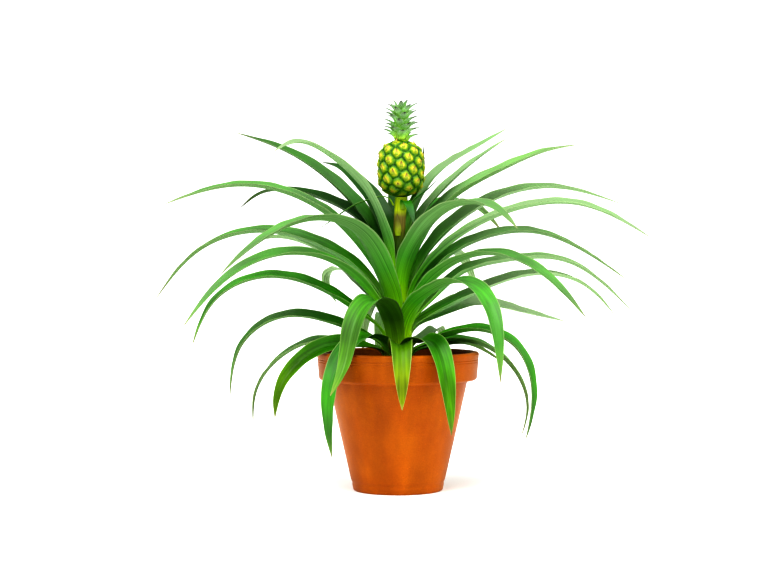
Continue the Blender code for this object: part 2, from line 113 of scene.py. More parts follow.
# colour of a blade, each 0 to 1: fresh is young yellow-green, bloom is silver wax (on the upper side
# also a painted highlight of sheen), deep is painted shade in dark green, and shade is painted shade on the
# underside alone
plainTone = {"fresh": 0.0, "bloom": 0.12}
bractTone = {"fresh": 0.15, "bloom": 0.2}
crownTone = {"fresh": 0.0, "bloom": 0.0}
leafTones = {
    "leaf_front_over_rim": {"fresh": 1.0, "bloom": 0.0},
    "leaf_front_left_lowest": {"fresh": 0.45, "bloom": 0.0},
    "leaf_front_right_over_rim": {"fresh": 0.3, "bloom": 0.0},
    "leaf_front_folded": {"fresh": 0.3, "bloom": 0.14, "shade": 0.75},
    "leaf_front_left_top": {"bloom": 1.0}, "leaf_back_right_top": {"bloom": 0.8},
    "leaf_right_top": {"bloom": 0.8}, "leaf_right_rising": {"bloom": 0.6, "fresh": 0.15},
    "leaf_right_straight": {"bloom": 1.0}, "leaf_back_left_curled": {"bloom": 1.0},
    "leaf_back_right_mid": {"bloom": 1.0}, "leaf_back_right_short": {"bloom": 1.0},
    "leaf_back_left_short": {"bloom": 0.9}, "leaf_back_right_mid_low": {"bloom": 0.9},
    "leaf_right_high": {"bloom": 0.8}, "leaf_right_longest": {"bloom": 0.9},
    "leaf_right_high_arch": {"bloom": 0.6}, "leaf_right_mid": {"bloom": 0.8},
    "leaf_left_dry_tip": {"bloom": 0.4}, "leaf_left_long_arch": {"bloom": 0.3},
    "leaf_back_left_mid": {"bloom": 0.5}, "leaf_left_rising": {"bloom": 0.3, "deep": 0.4},
    "leaf_front_left_mid": {"bloom": 0.3}, "leaf_left_lowest": {"bloom": 0.4},
    "leaf_left_low_arch": {"bloom": 0.25}, "leaf_right_bent": {"bloom": 0.3},
    "leaf_back_left_high": {"bloom": 0.2, "deep": 0.6}, "leaf_back_left_top": {"deep": 0.7},
    "leaf_back_top": {"deep": 0.5}, "leaf_front_right_high": {"bloom": 0.5},
    "leaf_front_left_high": {"bloom": 0.45, "shade": 0.2}, "leaf_front_right_arch": {"bloom": 0.22},
    "leaf_front_right_mid": {"bloom": 0.35},
}


def linearColour(hexCode):
    values = [int(hexCode[i:i + 2], 16) / 255 for i in (0, 2, 4)]
    return tuple(v / 12.92 if v <= 0.04045 else ((v + 0.055) / 1.055) ** 2.4 for v in values) + (1.0,)


def perMetre(millimetres):  # texture scale for a pattern whose features are this many mm apart
    return 1000 / millimetres


def addNode(tree, kind, settings=(), inputs=(), links=()):
    node = tree.nodes.new(kind)
    for name, value in dict(settings).items():
        setattr(node, name, value)
    for name, value in dict(inputs).items():
        node.inputs[name].default_value = value
    for name, socket in dict(links).items():
        tree.links.new(socket, node.inputs[name])
    return node


def newMaterial(name, shaderInputs):
    material = bpy.data.materials.new(name)
    material.use_nodes = True
    tree = material.node_tree
    shader = tree.nodes["Principled BSDF"]
    for key, value in shaderInputs.items():
        shader.inputs[key].default_value = value
    return material, tree, shader


def setRamp(ramp, stops):  # stops are (place, hex colour)
    elements = ramp.color_ramp.elements
    while len(elements) > 1:
        elements.remove(elements[-1])
    elements[0].position, elements[0].color = stops[0][0], linearColour(stops[0][1])
    for place, hexCode in stops[1:]:
        elements.new(place).color = linearColour(hexCode)


def finishMesh(name, bm, materials):
    bm.normal_update()
    mesh = bpy.data.meshes.new(name)
    bm.to_mesh(mesh)
    bm.free()
    for material in materials:
        mesh.materials.append(material)
    mesh.shade_smooth()
    piece = bpy.data.objects.new(name, mesh)
    bpy.context.scene.collection.objects.link(piece)
    return piece


def place(piece, slot, *nodes):
    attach(piece, "root")
    if nodes:
        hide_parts(*nodes)
    return piece


def ageColour(tree, growth, grownStops, youngStops):  # from foot to tip, in a grown leaf and in a young one
    fresh = addNode(tree, "ShaderNodeAttribute", {"attribute_name": "fresh"})
    green = addNode(tree, "ShaderNodeValToRGB", links={"Fac": growth.outputs["Fac"]})
    setRamp(green, grownStops)
    young = addNode(tree, "ShaderNodeValToRGB", links={"Fac": growth.outputs["Fac"]})
    setRamp(young, youngStops)
    return addNode(tree, "ShaderNodeMix", {"data_type": "RGBA"},
                   links={0: fresh.outputs["Fac"], 6: green.outputs["Color"], 7: young.outputs["Color"]})


# painted shade: dark green laid over the leaves that stand in the shadow of others
def paintedShadeTint(tree, growth, attribute, under):  # dark green laid over a colour, from a little above the foot
    deep = addNode(tree, "ShaderNodeAttribute", {"attribute_name": attribute})
    paintedShadeRise = addNode(tree, "ShaderNodeMapRange", inputs={"From Min": 0.05, "From Max": 0.2},
                       links={"Value": growth.outputs["Fac"]})
    paintedShadeShare = addNode(tree, "ShaderNodeMath", {"operation": "MULTIPLY"},
                        links={0: deep.outputs["Fac"], 1: paintedShadeRise.outputs["Result"]})
    return addNode(tree, "ShaderNodeMix", {"data_type": "RGBA"}, inputs={7: linearColour("0b3402")},
                   links={0: paintedShadeShare.outputs["Value"], 6: under.outputs[2]})


def leafUpperMaterial():
    # living bromeliad leaf, upper side: a waxy satin skin, deep green, yellow-green where it leaves the stem
    material, tree, shader = newMaterial(
        "leafUpperSkin", {"Roughness": 0.38, "IOR": 1.45, "Specular IOR Level": 0.3})
    growth = addNode(tree, "ShaderNodeAttribute", {"attribute_name": "growth"})
    bloom = addNode(tree, "ShaderNodeAttribute", {"attribute_name": "bloom"})
    edge = addNode(tree, "ShaderNodeAttribute", {"attribute_name": "edge"})
    uv = addNode(tree, "ShaderNodeUVMap", {"uv_map": "blade"})
    grownStops = [(0.0, "bcd810"), (0.1, "84c40c"), (0.22, "489808"), (0.42, "2c700c"),
                  (0.7, "307808"), (0.88, "32740c"), (0.965, "5a7c30"), (1.0, "85764e")]
    # the young leaf starts dark olive at the foot and brightens outward: painted shade where the leaves above
    # cover it
    youngStops = [(0.0, "2c5c06"), (0.45, "3c6404"), (0.62, "587e02"), (0.76, "6f8402"),
                  (0.95, "6c7c0a"), (1.0, "8c8c48")]
    mixYoung = ageColour(tree, growth, grownStops, youngStops)
    # veins run lengthwise, about 1.1 mm apart; the streaks are long and soft
    stretch = addNode(tree, "ShaderNodeMapping", inputs={"Scale": (perMetre(140), perMetre(1.6), 1)},
                      links={"Vector": uv.outputs["UV"]})
    streak = addNode(tree, "ShaderNodeTexNoise", inputs={"Scale": 1.0, "Detail": 3.0, "Roughness": 0.6},
                     links={"Vector": stretch.outputs["Vector"]})
    streakTone = addNode(tree, "ShaderNodeMapRange", inputs={"From Min": 0.3, "From Max": 0.7,
                         "To Min": 0.66, "To Max": 1.3}, links={"Value": streak.outputs["Fac"]})
    blotchScale = addNode(tree, "ShaderNodeMapping", inputs={"Scale": (perMetre(45), perMetre(14), 1)},
                          links={"Vector": uv.outputs["UV"]})
    blotch = addNode(tree, "ShaderNodeTexNoise", inputs={"Scale": 1.0, "Detail": 2.0},
                     links={"Vector": blotchScale.outputs["Vector"]})
    blotchTone = addNode(tree, "ShaderNodeMapRange", inputs={"From Min": 0.3, "From Max": 0.7,
                         "To Min": 0.62, "To Max": 1.5}, links={"Value": blotch.outputs["Fac"]})
    tone = addNode(tree, "ShaderNodeMath", {"operation": "MULTIPLY"},
                   links={0: streakTone.outputs["Result"], 1: blotchTone.outputs["Result"]})
    toned = addNode(tree, "ShaderNodeVectorMath", {"operation": "SCALE"},
                    links={0: mixYoung.outputs[2], "Scale": tone.outputs["Value"]})
    # silver wax bloom growing along the arch; on the upper side it also stands in for the grey sheen of
    # reflected light, so it is partly painted highlight
    bloomRise = addNode(tree, "ShaderNodeMapRange", inputs={
        "From Min": 0.08, "From Max": 0.45, "To Max": 0.75}, links={"Value": growth.outputs["Fac"]})
    bloomShare = addNode(tree, "ShaderNodeMath", {"operation": "MULTIPLY"},
                         links={0: bloom.outputs["Fac"], 1: bloomRise.outputs["Result"]})
    bloomAndSheen = addNode(tree, "ShaderNodeMix", {"data_type": "RGBA"}, inputs={7: linearColour("94a884")},
                     links={0: bloomShare.outputs["Value"], 6: toned.outputs["Vector"]})
    # painted highlight: a pale line along the blade's edge
    rim = addNode(tree, "ShaderNodeMapRange", {"interpolation_type": "SMOOTHSTEP"},
                  inputs={"From Min": 0.9, "From Max": 1.0, "To Min": 0.0, "To Max": 0.3},
                  links={"Value": edge.outputs["Fac"]})
    edgeHighlighted = addNode(tree, "ShaderNodeMix", {"data_type": "RGBA"}, inputs={7: linearColour("b9cc8a")},
                     links={0: rim.outputs["Result"], 6: bloomAndSheen.outputs[2]})
    # painted shade in dark green on the upper side of leaves standing in shadow
    paintedShaded = paintedShadeTint(tree, growth, "deep", edgeHighlighted)
    tree.links.new(paintedShaded.outputs[2], shader.inputs["Base Color"])
    bump = addNode(tree, "ShaderNodeBump", inputs={"Strength": 0.35, "Distance": 0.00025},
                   links={"Height": streak.outputs["Fac"]})
    tree.links.new(bump.outputs["Normal"], shader.inputs["Normal"])
    return material


def leafUnderMaterial():
    # the underside: fine lengthwise ribs dusted with silvery scales, so it is matt and grey-green
    material, tree, shader = newMaterial(
        "leafUnderScales", {"Roughness": 0.55, "IOR": 1.42, "Specular IOR Level": 0.2})
    growth = addNode(tree, "ShaderNodeAttribute", {"attribute_name": "growth"})
    bloom = addNode(tree, "ShaderNodeAttribute", {"attribute_name": "bloom"})
    edge = addNode(tree, "ShaderNodeAttribute", {"attribute_name": "edge"})
    uv = addNode(tree, "ShaderNodeUVMap", {"uv_map": "blade"})
    grownStops = [(0.0, "bcd810"), (0.1, "84c40c"), (0.22, "489810"), (0.4, "3a7416"),
                  (0.6, "4a7c2c"), (0.9, "6a8a4c"), (1.0, "85764e")]
    youngStops = [(0.0, "d2d83e"), (0.3, "a2cb22"), (0.7, "8dbd3a"), (1.0, "9aa257")]
    mixYoung = ageColour(tree, growth, grownStops, youngStops)
    # bloom starts a little above the foot and grows towards the tip
    bloomRise = addNode(tree, "ShaderNodeMapRange", inputs={"From Min": 0.06, "From Max": 0.42},
                        links={"Value": growth.outputs["Fac"]})
    bloomShare = addNode(tree, "ShaderNodeMath", {"operation": "MULTIPLY"},
                         links={0: bloom.outputs["Fac"], 1: bloomRise.outputs["Result"]})
    bloomMost = addNode(tree, "ShaderNodeMath", {"operation": "MULTIPLY"}, inputs={1: 0.85},
                        links={0: bloomShare.outputs["Value"]})
    silver = addNode(tree, "ShaderNodeMix", {"data_type": "RGBA"}, inputs={7: linearColour("9cba8a")},
                     links={0: bloomMost.outputs["Value"], 6: mixYoung.outputs[2]})
    stretch = addNode(tree, "ShaderNodeMapping", inputs={"Scale": (perMetre(150), perMetre(0.9), 1)},
                      links={"Vector": uv.outputs["UV"]})
    rib = addNode(tree, "ShaderNodeTexNoise", inputs={"Scale": 1.0, "Detail": 2.0, "Roughness": 0.5},
                  links={"Vector": stretch.outputs["Vector"]})
    ribTone = addNode(tree, "ShaderNodeMapRange", inputs={"From Min": 0.3, "From Max": 0.7,
                      "To Min": 0.65, "To Max": 1.35}, links={"Value": rib.outputs["Fac"]})
    toned = addNode(tree, "ShaderNodeVectorMath", {"operation": "SCALE"},
                    links={0: silver.outputs[2], "Scale": ribTone.outputs["Result"]})
    # painted highlight: a pale line along the blade's edge
    rim = addNode(tree, "ShaderNodeMapRange", {"interpolation_type": "SMOOTHSTEP"},
                  inputs={"From Min": 0.88, "From Max": 1.0, "To Min": 0.0, "To Max": 0.35},
                  links={"Value": edge.outputs["Fac"]})
    edgeHighlighted = addNode(tree, "ShaderNodeMix", {"data_type": "RGBA"}, inputs={7: linearColour("c3d0a0")},
                     links={0: rim.outputs["Result"], 6: toned.outputs["Vector"]})
    # painted shade in dark green on the underside of leaves standing in shadow
    paintedShaded = paintedShadeTint(tree, growth, "shade", edgeHighlighted)
    tree.links.new(paintedShaded.outputs[2], shader.inputs["Base Color"])
    bump = addNode(tree, "ShaderNodeBump", inputs={"Strength": 0.5, "Distance": 0.0003},
                   links={"Height": rib.outputs["Fac"]})
    tree.links.new(bump.outputs["Normal"], shader.inputs["Normal"])
    return material


def terracottaMaterial():
    # low-fired red clay, turned and left unglazed: matt, warm orange, with a sandy grain and turning lines
    material, tree, shader = newMaterial(
        "terracottaClay", {"Roughness": 0.42, "IOR": 1.5, "Specular IOR Level": 0.2})
    coords = addNode(tree, "ShaderNodeTexCoord")
    mottle = addNode(tree, "ShaderNodeTexNoise", inputs={
        "Scale": perMetre(34), "Detail": 4.0, "Roughness": 0.55}, links={"Vector": coords.outputs["Object"]})
    colour = addNode(tree, "ShaderNodeValToRGB", links={"Fac": mottle.outputs["Fac"]})
    setRamp(colour, [(0.25, "9e5200"), (0.5, "a65a00"), (0.75, "ae6202")])
    grain = addNode(tree, "ShaderNodeTexNoise", inputs={"Scale": perMetre(0.9), "Detail": 3.0},
                    links={"Vector": coords.outputs["Object"]})
    speck = addNode(tree, "ShaderNodeMapRange", inputs={"From Min": 0.35, "From Max": 0.65,
                    "To Min": 0.9, "To Max": 1.08}, links={"Value": grain.outputs["Fac"]})
    # long soft streaks run down the wall where the slip dried
    fall = addNode(tree, "ShaderNodeMapping", inputs={"Scale": (perMetre(26), perMetre(26), perMetre(150))},
                   links={"Vector": coords.outputs["Object"]})
    streak = addNode(tree, "ShaderNodeTexNoise", inputs={"Scale": 1.0, "Detail": 3.0},
                     links={"Vector": fall.outputs["Vector"]})
    streakTone = addNode(tree, "ShaderNodeMapRange", inputs={"From Min": 0.35, "From Max": 0.65,
                         "To Min": 0.82, "To Max": 1.1}, links={"Value": streak.outputs["Fac"]})
    # pale grit shows as sparse specks under half a millimetre across
    grit = addNode(tree, "ShaderNodeTexVoronoi", inputs={"Scale": perMetre(5)},
                   links={"Vector": coords.outputs["Object"]})
    gritTone = addNode(tree, "ShaderNodeMapRange", inputs={"From Min": 0.05, "From Max": 0.09,
                       "To Min": 1.5, "To Max": 1.0}, links={"Value": grit.outputs["Distance"]})
    wear = addNode(tree, "ShaderNodeMath", {"operation": "MULTIPLY"},
                   links={0: streakTone.outputs["Result"], 1: gritTone.outputs["Result"]})
    allTones = addNode(tree, "ShaderNodeMath", {"operation": "MULTIPLY"},
                       links={0: wear.outputs["Value"], 1: speck.outputs["Result"]})
    toned = addNode(tree, "ShaderNodeVectorMath", {"operation": "SCALE"},
                    links={0: colour.outputs["Color"], "Scale": allTones.outputs["Value"]})
    tree.links.new(toned.outputs["Vector"], shader.inputs["Base Color"])
    flatten = addNode(tree, "ShaderNodeMapping", inputs={
        "Scale": (perMetre(60), perMetre(60), perMetre(1.6))}, links={"Vector": coords.outputs["Object"]})
    lines = addNode(tree, "ShaderNodeTexNoise", inputs={"Scale": 1.0, "Detail": 2.0},
                    links={"Vector": flatten.outputs["Vector"]})
    both = addNode(tree, "ShaderNodeMath", {"operation": "ADD"},
                   links={0: lines.outputs["Fac"], 1: grain.outputs["Fac"]})
    bump = addNode(tree, "ShaderNodeBump", inputs={"Strength": 0.35, "Distance": 0.0003},
                   links={"Height": both.outputs["Value"]})
    tree.links.new(bump.outputs["Normal"], shader.inputs["Normal"])
    return material


def soilMaterial():
    # damp peat mix: nearly black brown crumbs with paler fibres
    material, tree, shader = newMaterial("peatMix", {"Roughness": 0.95, "Specular IOR Level": 0.2})
    coords = addNode(tree, "ShaderNodeTexCoord")
    crumbs = addNode(tree, "ShaderNodeTexNoise", inputs={
        "Scale": perMetre(4), "Detail": 6.0, "Roughness": 0.7}, links={"Vector": coords.outputs["Object"]})
    colour = addNode(tree, "ShaderNodeValToRGB", links={"Fac": crumbs.outputs["Fac"]})
    setRamp(colour, [(0.3, "120a06"), (0.5, "2a1a10"), (0.68, "4c3524"), (0.8, "6d5540")])
    tree.links.new(colour.outputs["Color"], shader.inputs["Base Color"])
    bump = addNode(tree, "ShaderNodeBump", inputs={"Strength": 0.9, "Distance": 0.0012},
                   links={"Height": crumbs.outputs["Fac"]})
    tree.links.new(bump.outputs["Normal"], shader.inputs["Normal"])
    return material


def fruitMaterial():
    # pineapple rind: each eye is a waxy yellow shield, with green round its edge and in the seams
    material, tree, shader = newMaterial(
        "fruitRind", {"Roughness": 0.45, "IOR": 1.45, "Specular IOR Level": 0.5})
    seam = addNode(tree, "ShaderNodeAttribute", {"attribute_name": "seam"})
    height = addNode(tree, "ShaderNodeAttribute", {"attribute_name": "rise"})
    coords = addNode(tree, "ShaderNodeTexCoord")
    grain = addNode(tree, "ShaderNodeTexNoise", inputs={
        "Scale": perMetre(2.6), "Detail": 5.0, "Roughness": 0.7}, links={"Vector": coords.outputs["Object"]})
    offset = addNode(tree, "ShaderNodeMath", {"operation": "MULTIPLY_ADD"}, inputs={1: 1.2, 2: -0.56},
                     links={0: grain.outputs["Fac"]})
    jittered = addNode(tree, "ShaderNodeMath", {"operation": "ADD"},
                       links={0: seam.outputs["Fac"], 1: offset.outputs["Value"]})
    colour = addNode(tree, "ShaderNodeValToRGB", links={"Fac": jittered.outputs["Value"]})
    setRamp(colour, [(0.0, "1e4600"), (0.2, "447c04"), (0.45, "78980c"), (0.7, "a8ac1c"), (0.95, "d4c848")])
    # the eyes turn darker green towards the bottom of the fruit
    lowerGreen = addNode(tree, "ShaderNodeMapRange", inputs={"From Min": 0.0, "From Max": 0.35,
                       "To Min": 0.55, "To Max": 0.0}, links={"Value": height.outputs["Fac"]})
    toned = addNode(tree, "ShaderNodeMix", {"data_type": "RGBA"}, inputs={7: linearColour("3f6a14")},
                    links={0: lowerGreen.outputs["Result"], 6: colour.outputs["Color"]})
    tree.links.new(toned.outputs[2], shader.inputs["Base Color"])
    bump = addNode(tree, "ShaderNodeBump", inputs={"Strength": 0.4, "Distance": 0.0005},
                   links={"Height": grain.outputs["Fac"]})
    tree.links.new(bump.outputs["Normal"], shader.inputs["Normal"])
    return material


def rampedMaterial(name, stops, shaderInputs, grainSize):
    # plant tissue coloured along its growth attribute, with a soft mottle
    material, tree, shader = newMaterial(name, shaderInputs)
    growth = addNode(tree, "ShaderNodeAttribute", {"attribute_name": "growth"})
    coords = addNode(tree, "ShaderNodeTexCoord")
    colour = addNode(tree, "ShaderNodeValToRGB", links={"Fac": growth.outputs["Fac"]})
    setRamp(colour, stops)
    mottle = addNode(tree, "ShaderNodeTexNoise", inputs={"Scale": perMetre(grainSize), "Detail": 3.0},
                     links={"Vector": coords.outputs["Object"]})
    tone = addNode(tree, "ShaderNodeMapRange", inputs={"From Min": 0.3, "From Max": 0.7,
                   "To Min": 0.75, "To Max": 1.2}, links={"Value": mottle.outputs["Fac"]})
    toned = addNode(tree, "ShaderNodeVectorMath", {"operation": "SCALE"},
                    links={0: colour.outputs["Color"], "Scale": tone.outputs["Result"]})
    tree.links.new(toned.outputs["Vector"], shader.inputs["Base Color"])
    bump = addNode(tree, "ShaderNodeBump", inputs={"Strength": 0.3, "Distance": 0.0003},
                   links={"Height": mottle.outputs["Fac"]})
    tree.links.new(bump.outputs["Normal"], shader.inputs["Normal"])
    return material


def stalkMaterial():
    # the green stalk, yellow-green under the fruit, with a pale brown band where its bracts were
    material, tree, shader = newMaterial("stalkSkin", {"Roughness": 0.5, "IOR": 1.45})
    coords = addNode(tree, "ShaderNodeTexCoord")
    split = addNode(tree, "ShaderNodeSeparateXYZ", links={"Vector": coords.outputs["Object"]})
    rise = addNode(tree, "ShaderNodeMapRange", inputs={"From Min": 0.126, "From Max": 0.293},
                   links={"Value": split.outputs["Z"]})
    colour = addNode(tree, "ShaderNodeValToRGB", links={"Fac": rise.outputs["Result"]})
    # darkest green where the stalk rises among the leaves: painted shade
    setRamp(colour, [(0.0, "86a812"), (0.15, "4c7808"), (0.6, "2c5206"), (0.74, "4c6410"), (0.82, "8c7c3c"),
                     (0.88, "8c8040"), (0.92, "bccc14"), (1.0, "b4cc10")])
    stretch = addNode(tree, "ShaderNodeMapping", inputs={
        "Scale": (perMetre(1.2), perMetre(1.2), perMetre(14))}, links={"Vector": coords.outputs["Object"]})
    fibre = addNode(tree, "ShaderNodeTexNoise", inputs={"Scale": 1.0, "Detail": 3.0},
                    links={"Vector": stretch.outputs["Vector"]})
    tone = addNode(tree, "ShaderNodeMapRange", inputs={"From Min": 0.3, "From Max": 0.7,
                   "To Min": 0.7, "To Max": 1.15}, links={"Value": fibre.outputs["Fac"]})
    toned = addNode(tree, "ShaderNodeVectorMath", {"operation": "SCALE"},
                    links={0: colour.outputs["Color"], "Scale": tone.outputs["Result"]})
    tree.links.new(toned.outputs["Vector"], shader.inputs["Base Color"])
    bump = addNode(tree, "ShaderNodeBump", inputs={"Strength": 0.5, "Distance": 0.0004},
                   links={"Height": fibre.outputs["Fac"]})
    tree.links.new(bump.outputs["Normal"], shader.inputs["Normal"])
    return material


def stemRadius(height):  # mm
    return float(np.interp(height, (96, 126, 150, 236, 248), (10, 13, 13, 7, 6)))


def stemLean(height):  # mm that the stalk stands to the right
    return float(3 * np.clip((height - 236) / (293 - 236), 0, 1))


def splineThrough(points, count):
    knots = np.array(points, float)
    spans = np.linalg.norm(np.diff(knots, axis=0), axis=1)
    along = np.concatenate([[0.0], np.cumsum(spans)])
    size = len(knots)
    matrix = np.eye(size)
    right = np.zeros_like(knots)
    for i in range(1, size - 1):
        matrix[i, i - 1:i + 2] = spans[i - 1], 2 * (spans[i - 1] + spans[i]), spans[i]
        right[i] = 6 * ((knots[i + 1] - knots[i]) / spans[i] - (knots[i] - knots[i - 1]) / spans[i - 1])
    bend = np.linalg.solve(matrix, right)
    distance = np.linspace(0, along[-1], 400)
    i = np.clip(np.searchsorted(along, distance) - 1, 0, size - 2)
    h, a, b = (v[:, None] for v in (spans[i], along[i + 1] - distance, distance - along[i]))
    fine = (bend[i] * a ** 3 + bend[i + 1] * b ** 3) / (6 * h) \
        + (knots[i] / h - bend[i] * h / 6) * a + (knots[i + 1] / h - bend[i + 1] * h / 6) * b
    travelled = np.concatenate([[0.0], np.cumsum(np.linalg.norm(np.diff(fine, axis=0), axis=1))])
    wanted = np.linspace(0, travelled[-1], count)
    return np.stack([np.interp(wanted, travelled, fine[:, k]) for k in range(2)], axis=1), travelled[-1]


def addBlade(bm, route, start, centre, steps, bars, rng, shape):
    # a grid bent into a blade: Y of the grid runs along it, X across it
    turn, sway, roll, width, path = route
    line, length = splineThrough([start] + list(path), steps + 1)
    along = np.linspace(0, 1, steps + 1)
    reach, height = line[:, 0] * mm, line[:, 1] * mm
    heading = np.radians(turn + sway * along * (2 - along))
    outward = np.stack([np.cos(heading), np.sin(heading), 0 * heading], axis=1)
    around = np.stack([-np.sin(heading), np.cos(heading), 0 * heading], axis=1)
    middle = outward * reach[:, None] + np.array([0, 0, 1]) * height[:, None]
    middle[:, 0] += centre * mm
    forward = np.gradient(middle, axis=0)
    forward /= np.linalg.norm(forward, axis=1)[:, None]
    across = around - np.sum(around * forward, axis=1)[:, None] * forward
    across /= np.linalg.norm(across, axis=1)[:, None]
    up = np.cross(forward, across)
    twist = np.radians(shape["twist"]) * np.sin(2 * math.pi * (along * rng.uniform(0.6, 1.1) + rng.random()))
    tilt = (np.radians(roll) + twist) * np.clip(along / 0.35, 0, 1) ** 1.5
    sideways = across * np.cos(tilt)[:, None] + up * np.sin(tilt)[:, None]
    upright = up * np.cos(tilt)[:, None] - across * np.sin(tilt)[:, None]

    taper = np.maximum(1 - along ** shape["taperPower"], 0) ** 0.9
    opened = np.minimum(along / blade["footLength"], 1)
    half = width * mm / 2 * (blade["footNarrowing"] + (1 - blade["footNarrowing"]) * opened) * taper
    half = np.minimum(np.maximum(half, shape["tipHalf"] * mm), blade["footWrap"] * reach)
    grown = (reach - blade["flatReach"] * mm) / ((blade["hollowReach"] - blade["flatReach"]) * mm)
    hollow = shape["hollow"] * half * np.clip(grown, shape["hollowLeast"], 1)

    made = bmesh.ops.create_grid(bm, x_segments=bars, y_segments=steps, size=0.5)["verts"]
    layers = {name: bm.verts.layers.float[name] for name in ("growth", "edge")}
    phaseRange = 6.3
    ripples = [(rng.uniform(22, 40), rng.random() * phaseRange, rng.uniform(18, 34),
                rng.random() * phaseRange) for _ in range(2)]
    for vert in made:
        u = 2 * vert.co.x
        k = int(round((vert.co.y + 0.5) * steps))
        wrap = half[k] * u / reach[k]
        side = abs(u)
        waveA, phaseA, waveB, phaseB = ripples[0 if u < 0 else 1]
        distance = along[k] * length
        ripple = math.sin(distance / waveA * math.tau + phaseA)
        ripple += 0.6 * math.sin(distance / waveB * math.tau + phaseB)
        ripple *= shape["ripple"] * mm * side ** 3 * min(along[k] / 0.3, 1) * min((1 - along[k]) / 0.15, 1)
        lift = hollow[k] * (side ** shape["hollowPower"] - 0.4) + ripple
        point = middle[k] + sideways[k] * half[k] * u + upright[k] * lift
        point = point + outward[k] * reach[k] * (math.cos(wrap) - 1)
        point = point + around[k] * (reach[k] * math.sin(wrap) - half[k] * u)
        vert.co = point
        vert[layers["growth"]] = along[k]
        vert[layers["edge"]] = side
    uvLayer = bm.loops.layers.uv["blade"]
    for face in {f for v in made for f in v.link_faces}:
        for loop in face.loops:
            vert = loop.vert
            loop[uvLayer].uv = (vert[layers["growth"]] * length * mm, 0)
    return made, half


def bladeMesh():
    bm = bmesh.new()
    for name in ("growth", "edge", "fresh", "bloom", "deep", "shade", "thick"):
        bm.verts.layers.float.new(name)
    bm.loops.layers.uv.new("blade")
    return bm


leafShape = {
    "steps": 56, "bars": 10, "thickness": 0.9, "taperPower": 3.2, "tipHalf": 0.25,
    "hollow": 0.52, "hollowLeast": 0.0, "hollowPower": 1.25, "ripple": 0.3, "twist": 2.5,
    "sheath": 14, "lowestFoot": 127,  # mm: how far a foot runs down the stem, and the height where it ends
}


def setBladeData(bm, verts, half, steps, tone, rng):
    layer = bm.verts.layers.float
    uvLayer = bm.loops.layers.uv["blade"]
    shift = rng.random() * 5
    deep = tone.get("deep", 0.0)
    values = {"fresh": tone["fresh"], "bloom": tone["bloom"], "deep": deep, "shade": tone.get("shade", deep)}
    for vert in verts:
        for name, value in values.items():
            vert[layer[name]] = value
        edge, growth = vert[layer["edge"]], vert[layer["growth"]]
        vert[layer["thick"]] = max((1 - 0.65 * edge ** 2) * (1 - 0.5 * growth), 0.15)
    for face in {f for v in verts for f in v.link_faces}:
        for loop in face.loops:
            k = int(round(loop.vert[layer["growth"]] * steps))
            loop[uvLayer].uv.y = shift + half[k] * loop.vert[layer["edge"]]


def buildLeaves(upper, under):
    for index, (name, (turn, sway, roll, width, foot, path)) in enumerate(leafRoutes.items()):
        rng = random.Random(100 + index)
        tone = {**plainTone, **leafTones.get(name, {})}
        bm = bladeMesh()
        low = foot - min(leafShape["sheath"], foot - leafShape["lowestFoot"])
        start = (stemRadius(low) + blade["footClearance"], low)
        path = [(stemRadius(foot) + blade["footClearance"], foot)] + path
        verts, half = addBlade(bm, (turn, sway, roll, width, path), start, stemLean(foot),
                                       leafShape["steps"], leafShape["bars"], rng, leafShape)
        setBladeData(bm, verts, half, leafShape["steps"], tone, rng)
        piece = thickBlade(name.replace("leaf_", "blade_"), bm, [upper, under], leafShape["thickness"])
        place(piece, "leaf", name)
    print("leaves:", len(leafRoutes))


def thickBlade(name, bm, materials, thickness):
    bmesh.ops.recalc_face_normals(bm, faces=bm.faces)
    if sum(face.normal.z for face in bm.faces) < 0:
        bmesh.ops.reverse_faces(bm, faces=bm.faces)
    thickLayer = bm.verts.layers.float["thick"]
    weights = [vert[thickLayer] for vert in bm.verts]
    piece = finishMesh(name, bm, materials)
    group = piece.vertex_groups.new(name="thick")
    for index, weight in enumerate(weights):
        group.add([index], weight, "REPLACE")
    shell = piece.modifiers.new("thickness", "SOLIDIFY")
    shell.thickness = thickness * mm
    shell.offset = 0
    shell.vertex_group = "thick"
    shell.thickness_vertex_group = 0.1
    shell.material_offset = 1
    shell.material_offset_rim = 1
    smooth = piece.modifiers.new("smooth", "SUBSURF")
    smooth.levels = 1
    smooth.render_levels = 1
    return piece


bractShape = {
    "steps": 24, "bars": 6, "thickness": 0.8, "taperPower": 2.2, "tipHalf": 0.2,
    "hollow": 0.7, "hollowLeast": 0.5, "hollowPower": 1.6, "ripple": 0.2, "twist": 8,
}


def buildBracts(upper, under, sheath, leafSkins):
    for index, (name, (turn, sway, roll, width, foot, path)) in enumerate(bractRoutes.items()):
        rng = random.Random(300 + index)
        bm = bladeMesh()
        start = (stemRadius(foot) + blade["footClearance"], foot)
        verts, half = addBlade(bm, (turn, sway, roll, width, path), start, stemLean(foot),
                                       bractShape["steps"], bractShape["bars"], rng, bractShape)
        setBladeData(bm, verts, half, bractShape["steps"], bractTone, rng)
        skins = {"bract_stalk": [sheath, sheath], "bract_left": leafSkins}.get(name, [upper, under])
        piece = thickBlade(name + "_blade", bm, skins, bractShape["thickness"])
        place(piece, "bract", name)
    print("bracts:", len(bractRoutes))


fruitShape = {
    "bottom": 293, "height": 57, "radius": 23.8, "lean": 3.0, "eyes": 66, "eyeHeight": 2.2,
    "seamWidth": 4.2, "around": 220, "up": 150, "squareness": 3.6,
    "scaleThickness": 0.5, "scaleLength": (5.0, 6.6), "scaleWidth": (3.4, 4.4), "scaleTip": (1.4, 3.2),
}


def fruitOutline(rise):
    fullness = 1 - np.abs(2 * rise ** 0.95 - 1) ** fruitShape["squareness"]
    return fruitShape["radius"] * np.maximum(fullness, 0) ** 0.5


